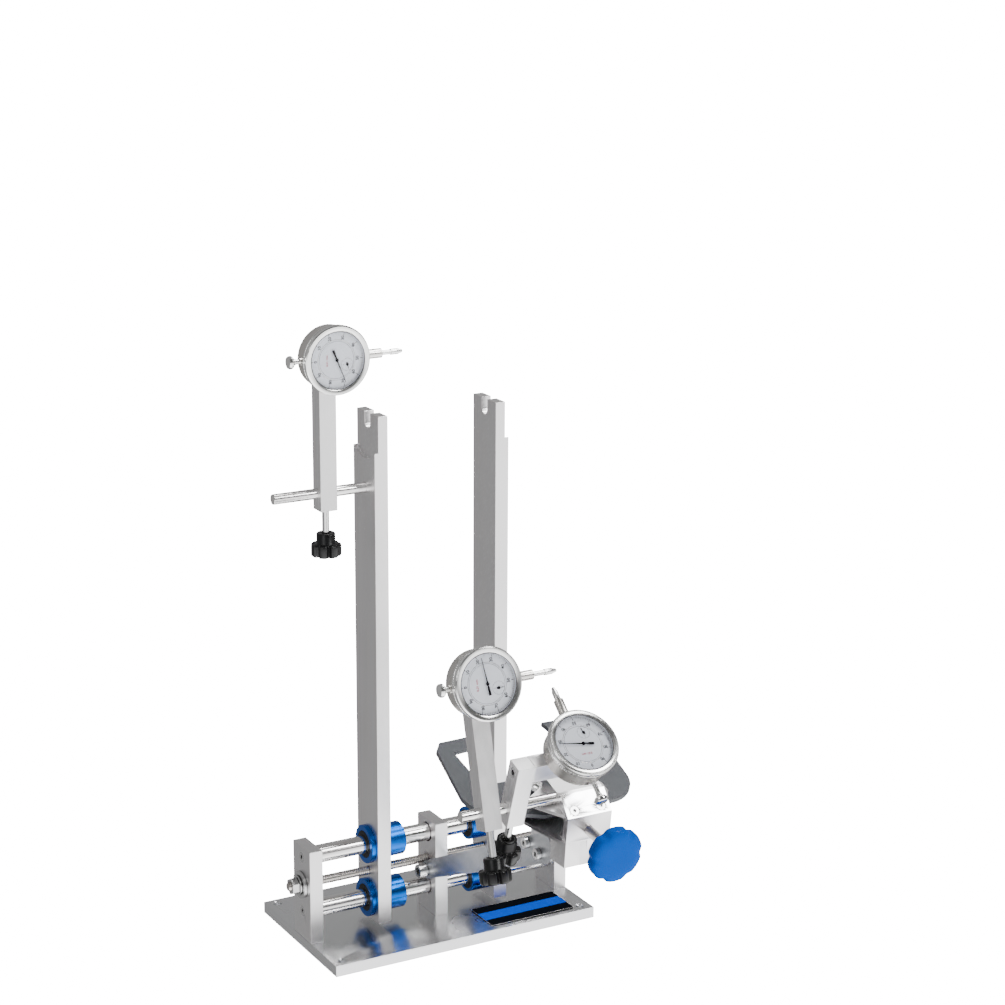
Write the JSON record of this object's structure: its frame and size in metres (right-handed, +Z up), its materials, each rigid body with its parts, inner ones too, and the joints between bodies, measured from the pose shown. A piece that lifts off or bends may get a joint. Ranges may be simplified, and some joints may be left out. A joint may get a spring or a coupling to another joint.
{
  "type": "bicycle wheel truing stand",
  "caption": "Bench stand that holds a bicycle wheel by its axle between sliding posts while dial gauges and a rim calliper show where it runs out.",
  "frame": {"origin": "on the underside of the base plate, straight below the wheel axle and midway between the posts", "axes": "+X along the wheel axle to the right, -Y to the front where the rim calliper reaches out, +Z up"},
  "size_m": [0.2945, 0.3973, 0.5515],
  "materials": {
    "silver_aluminium": "satin anodised",
    "cover_aluminium": "polished",
    "rod_steel": "ground and polished",
    "screw_steel": "rolled thread",
    "fastener_steel": "zinc plated",
    "bearing_plastic": "plain bearing",
    "blue_anodised": "blue anodised",
    "blue_knob": "glossy",
    "dark_knob": "knurled",
    "black_knob": "moulded",
    "jaw_grey": "grey coated",
    "label_black": "plain label",
    "case_grey": "satin plated",
    "bezel_chrome": "polished",
    "dial_white": "printed ring",
    "dial_glass": "clear",
    "pointer_black": "black"
  },
  "bodies": {
    "stand": {"base_plate": "silver_aluminium", "left_end_plate": "silver_aluminium", "middle_plate": "silver_aluminium", "right_end_plate": "silver_aluminium", "guide_rods": "rod_steel", "frame_screws": "fastener_steel", "name_plate": "label_black", "screw_bearings": "bearing_plastic"},
    "lead": {"lead_screw": "screw_steel", "lock_nuts": "fastener_steel", "drive_knob": "dark_knob"},
    "left_post": {"left_post": "silver_aluminium", "left_bushings": "blue_anodised", "left_liners": "bearing_plastic", "rotor_gauge_rod": "rod_steel"},
    "right_post": {"right_post": "silver_aluminium", "right_bushings": "blue_anodised", "right_liners": "bearing_plastic"},
    "swing": {"left_swing_arm": "silver_aluminium", "right_swing_arm": "silver_aluminium", "carriage_housing": "silver_aluminium", "cover_plate": "cover_aluminium", "carriage_screws": "fastener_steel", "gauge_rod": "rod_steel"},
    "left_jaw": {"left_jaw": "jaw_grey"},
    "right_jaw": {"right_jaw": "jaw_grey"},
    "feed": {"feed_screw": "screw_steel", "feed_knob": "blue_knob"},
    "rotor_arm": {"rotor_arm": "silver_aluminium", "rotor_case": "case_grey"},
    "lateral_arm": {"lateral_arm": "silver_aluminium", "lateral_case": "case_grey"},
    "radial_arm": {"radial_arm": "silver_aluminium", "radial_beam": "silver_aluminium", "radial_beam_screw": "fastener_steel", "radial_case": "case_grey"},
    "rotor_clamp": {"rotor_clamp_knob": "black_knob", "rotor_clamp_stud": "fastener_steel"},
    "rotor_bezel": {"rotor_bezel": "bezel_chrome", "rotor_face": "dial_white", "rotor_crystal": "dial_glass"},
    "rotor_plunger": {"rotor_plunger": "bezel_chrome"},
    "rotor_pointer": {"rotor_pointer": "pointer_black"},
    "rotor_small_pointer": {"rotor_small_pointer": "pointer_black"},
    "lateral_clamp": {"lateral_clamp_knob": "black_knob", "lateral_clamp_stud": "fastener_steel"},
    "lateral_bezel": {"lateral_bezel": "bezel_chrome", "lateral_face": "dial_white", "lateral_crystal": "dial_glass"},
    "lateral_plunger": {"lateral_plunger": "bezel_chrome"},
    "lateral_pointer": {"lateral_pointer": "pointer_black"},
    "lateral_small_pointer": {"lateral_small_pointer": "pointer_black"},
    "radial_clamp": {"radial_clamp_knob": "black_knob", "radial_clamp_stud": "fastener_steel"},
    "radial_bezel": {"radial_bezel": "bezel_chrome", "radial_face": "dial_white", "radial_crystal": "dial_glass"},
    "radial_plunger": {"radial_plunger": "bezel_chrome"},
    "radial_pointer": {"radial_pointer": "pointer_black"},
    "radial_small_pointer": {"radial_small_pointer": "pointer_black"}
  },
  "joints": [
    {"name": "lead_turn", "type": "hinge", "parent": "stand", "child": "lead", "pos_m": [0, 0, 0.0595], "axis": [1, 0, 0], "range_deg": [-7210, 3430]},
    {"name": "left_post_slide", "type": "slide", "parent": "stand", "child": "left_post", "axis": [1, 0, 0], "range_m": [-0.04, 0.019]},
    {"name": "right_post_slide", "type": "slide", "parent": "stand", "child": "right_post", "axis": [-1, 0, 0], "range_m": [-0.0401, 0.0191]},
    {"name": "swing_tilt", "type": "hinge", "parent": "stand", "child": "swing", "pos_m": [0, -0.011, 0.0535], "axis": [1, 0, 0], "range_deg": [-10, 20]},
    {"name": "left_jaw_pivot", "type": "hinge", "parent": "swing", "child": "left_jaw", "pos_m": [-0.017, -0.20911, 0.19804], "axis": [0, 0.309, -0.9511], "range_deg": [-3.05, 16.05]},
    {"name": "right_jaw_pivot", "type": "hinge", "parent": "swing", "child": "right_jaw", "pos_m": [0.017, -0.20911, 0.19804], "axis": [0, -0.309, 0.9511], "range_deg": [-3.05, 16.05]},
    {"name": "feed_turn", "type": "hinge", "parent": "swing", "child": "feed", "pos_m": [0, -0.2635, 0.182], "axis": [0, 0.989, 0.1478], "range_deg": [-290, 1590]},
    {"name": "rotor_arm_turn", "type": "hinge", "parent": "left_post", "child": "rotor_arm", "pos_m": [-0.0995, 0, 0.4055], "axis": [1, 0, 0], "range_deg": [-90, 90]},
    {"name": "rotor_clamp_turn", "type": "hinge", "parent": "rotor_arm", "child": "rotor_clamp", "pos_m": [-0.0995, 0, 0.4055], "axis": [0, 0, -1], "range_deg": [0, 720]},
    {"name": "rotor_bezel_turn", "type": "hinge", "parent": "rotor_arm", "child": "rotor_bezel", "pos_m": [-0.0995, -0.017, 0.5225], "axis": [0, -1, 0], "range_deg": [-180, 180]},
    {"name": "rotor_plunger_slide", "type": "slide", "parent": "rotor_arm", "child": "rotor_plunger", "axis": [1, 0, 0], "range_m": [-0.008, 0.002]},
    {"name": "rotor_pointer_turn", "type": "hinge", "parent": "rotor_arm", "child": "rotor_pointer", "pos_m": [-0.0995, -0.017, 0.5225], "axis": [0, -1, 0], "range_deg": [-2881, 721]},
    {"name": "rotor_small_pointer_turn", "type": "hinge", "parent": "rotor_arm", "child": "rotor_small_pointer", "pos_m": [-0.08998, -0.017, 0.51806], "axis": [0, -1, 0], "range_deg": [-289, 73]},
    {"name": "lateral_arm_turn", "type": "hinge", "parent": "swing", "child": "lateral_arm", "pos_m": [-0.0807, -0.24668, 0.20623], "axis": [1, 0, 0], "range_deg": [-40, 8]},
    {"name": "lateral_clamp_turn", "type": "hinge", "parent": "lateral_arm", "child": "lateral_clamp", "pos_m": [-0.0807, -0.24668, 0.20623], "axis": [0, -0.2538, -0.9673], "range_deg": [0, 720]},
    {"name": "lateral_bezel_turn", "type": "hinge", "parent": "lateral_arm", "child": "lateral_bezel", "pos_m": [-0.0807, -0.23744, 0.30843], "axis": [0, -0.9673, 0.2538], "range_deg": [-180, 180]},
    {"name": "lateral_plunger_slide", "type": "slide", "parent": "lateral_arm", "child": "lateral_plunger", "axis": [1, 0, 0], "range_m": [-0.01, 0]},
    {"name": "lateral_pointer_turn", "type": "hinge", "parent": "lateral_arm", "child": "lateral_pointer", "pos_m": [-0.0807, -0.23744, 0.30843], "axis": [0, -0.9673, 0.2538], "range_deg": [-3601, 1]},
    {"name": "lateral_small_pointer_turn", "type": "hinge", "parent": "lateral_arm", "child": "lateral_small_pointer", "pos_m": [-0.07118, -0.23856, 0.30414], "axis": [0, -0.9673, 0.2538], "range_deg": [-361, 1]},
    {"name": "radial_arm_turn", "type": "hinge", "parent": "swing", "child": "radial_arm", "pos_m": [-0.0573, -0.24668, 0.20623], "axis": [1, 0, 0], "range_deg": [-8, 18]},
    {"name": "radial_clamp_turn", "type": "hinge", "parent": "radial_arm", "child": "radial_clamp", "pos_m": [-0.0573, -0.24668, 0.20623], "axis": [0, 0.3206, -0.9472], "range_deg": [0, 720]},
    {"name": "radial_bezel_turn", "type": "hinge", "parent": "radial_arm", "child": "radial_bezel", "pos_m": [-0.0132, -0.27074, 0.25365], "axis": [0, -0.6691, 0.7431], "range_deg": [-180, 180]},
    {"name": "radial_plunger_slide", "type": "slide", "parent": "radial_arm", "child": "radial_plunger", "axis": [0, 0.7431, 0.6691], "range_m": [-0.0005, 0.0095]},
    {"name": "radial_pointer_turn", "type": "hinge", "parent": "radial_arm", "child": "radial_pointer", "pos_m": [-0.0132, -0.27074, 0.25365], "axis": [0, -0.6691, 0.7431], "range_deg": [-181, 3421]},
    {"name": "radial_small_pointer_turn", "type": "hinge", "parent": "radial_arm", "child": "radial_small_pointer", "pos_m": [-0.00876, -0.26367, 0.26002], "axis": [0, -0.6691, 0.7431], "range_deg": [-19, 343]}
  ],
  "couplings": [
    {"joint": "lead_turn", "follows": "left_post_slide", "rad_per_m": 3141.6},
    {"joint": "right_post_slide", "follows": "left_post_slide", "ratio": 1},
    {"joint": "left_jaw_pivot", "follows": "feed_turn", "ratio": 0.01},
    {"joint": "right_jaw_pivot", "follows": "feed_turn", "ratio": 0.01},
    {"joint": "rotor_pointer_turn", "follows": "rotor_plunger_slide", "rad_per_m": 6283.2},
    {"joint": "rotor_small_pointer_turn", "follows": "rotor_plunger_slide", "rad_per_m": 628.32},
    {"joint": "lateral_pointer_turn", "follows": "lateral_plunger_slide", "rad_per_m": 6283.2},
    {"joint": "lateral_small_pointer_turn", "follows": "lateral_plunger_slide", "rad_per_m": 628.32},
    {"joint": "radial_pointer_turn", "follows": "radial_plunger_slide", "rad_per_m": 6283.2},
    {"joint": "radial_small_pointer_turn", "follows": "radial_plunger_slide", "rad_per_m": 628.32}
  ]
}
